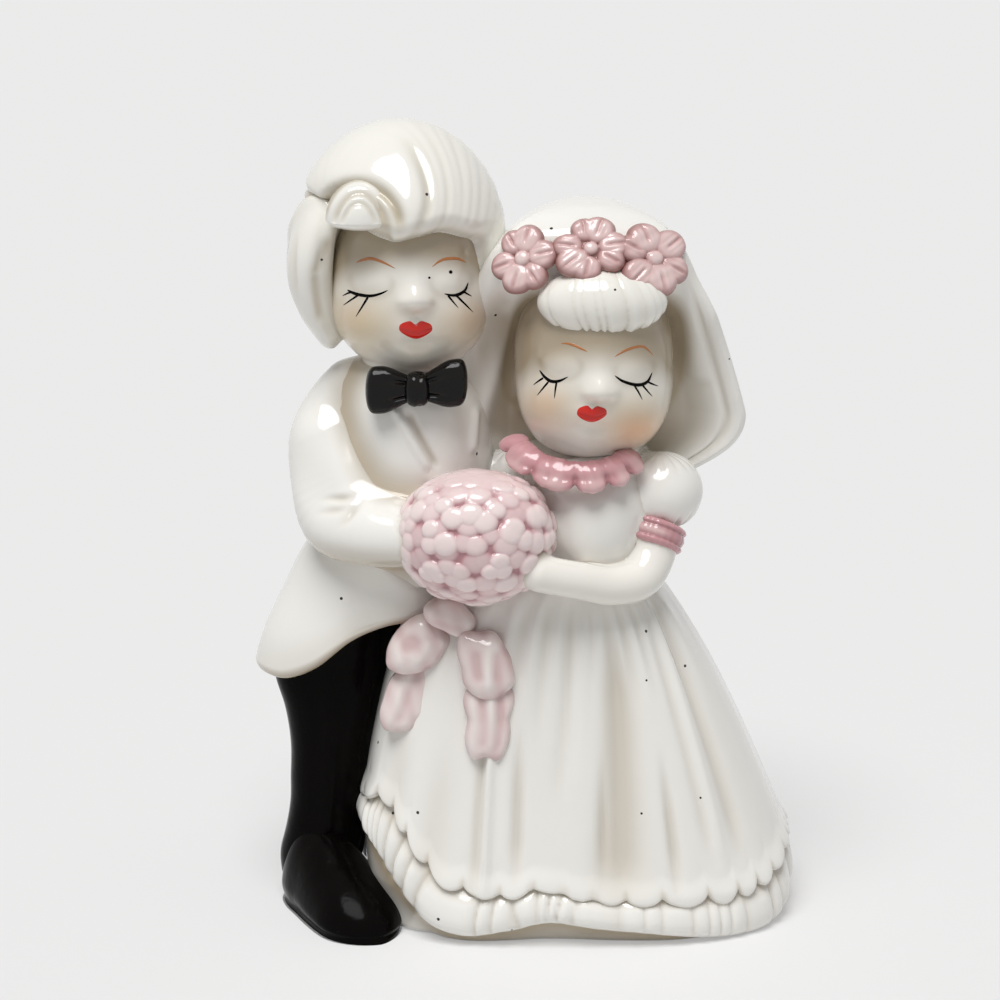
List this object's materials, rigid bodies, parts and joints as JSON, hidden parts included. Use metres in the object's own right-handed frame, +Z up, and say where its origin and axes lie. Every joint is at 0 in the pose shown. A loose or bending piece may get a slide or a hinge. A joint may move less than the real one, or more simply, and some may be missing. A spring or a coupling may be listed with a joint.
{
  "type": "wedding cake topper",
  "caption": "Glazed porcelain cake topper: a groom in a white tailcoat and a veiled bride holding one bouquet, on a flat hollow base that rests on a cake",
  "frame": {"origin": "under the middle of the whole topper, on the plane it rests on", "axes": "+Z up, -Y the way the couple faces, +X towards the bride"},
  "size_m": [0.0834, 0.0488, 0.1205],
  "materials": {
    "white_glaze": "clear glossy glaze over white porcelain",
    "flesh_glaze": "clear glossy glaze with overglaze painted face",
    "hair_glaze": "clear glossy glaze, faintly ivory in the grooves",
    "black_enamel": "glossy black overglaze enamel",
    "pink_enamel": "brushed pink overglaze enamel, uneven, glossy",
    "pale_pink_enamel": "thin pink overglaze wash, white on the ridges, glossy"
  },
  "bodies": {
    "root": {"base_shell": "white_glaze", "skirt": "white_glaze", "skirt_frill": "white_glaze", "jacket_tails": "white_glaze", "jacket_right_sleeve": "white_glaze", "jacket_body": "white_glaze", "jacket_left_sleeve": "white_glaze", "left_puff_sleeve": "white_glaze", "right_puff_sleeve": "white_glaze", "bodice": "white_glaze", "veil": "white_glaze", "groom_head": "flesh_glaze", "bride_head": "flesh_glaze", "bride_left_arm": "flesh_glaze", "groom_hair": "hair_glaze", "hair_curl": "hair_glaze", "hair_side_lock": "hair_glaze", "bride_fringe": "hair_glaze", "groom_right_shoe": "black_enamel", "groom_left_shoe": "black_enamel", "groom_right_leg": "black_enamel", "groom_left_leg": "black_enamel", "bow_tie_knot": "black_enamel", "bow_tie_left_wing": "black_enamel", "bow_tie_right_wing": "black_enamel", "bouquet": "pink_enamel", "sleeve_band": "pink_enamel", "collar_ruffle": "pink_enamel", "wreath_flower_middle": "pink_enamel", "wreath_flower_left": "pink_enamel", "wreath_flower_right": "pink_enamel", "ribbon_knot": "pale_pink_enamel", "ribbon_left_loop": "pale_pink_enamel", "ribbon_right_loop": "pale_pink_enamel", "ribbon_left_tail": "pale_pink_enamel", "ribbon_right_tail": "pale_pink_enamel"}
  },
  "joints": []
}
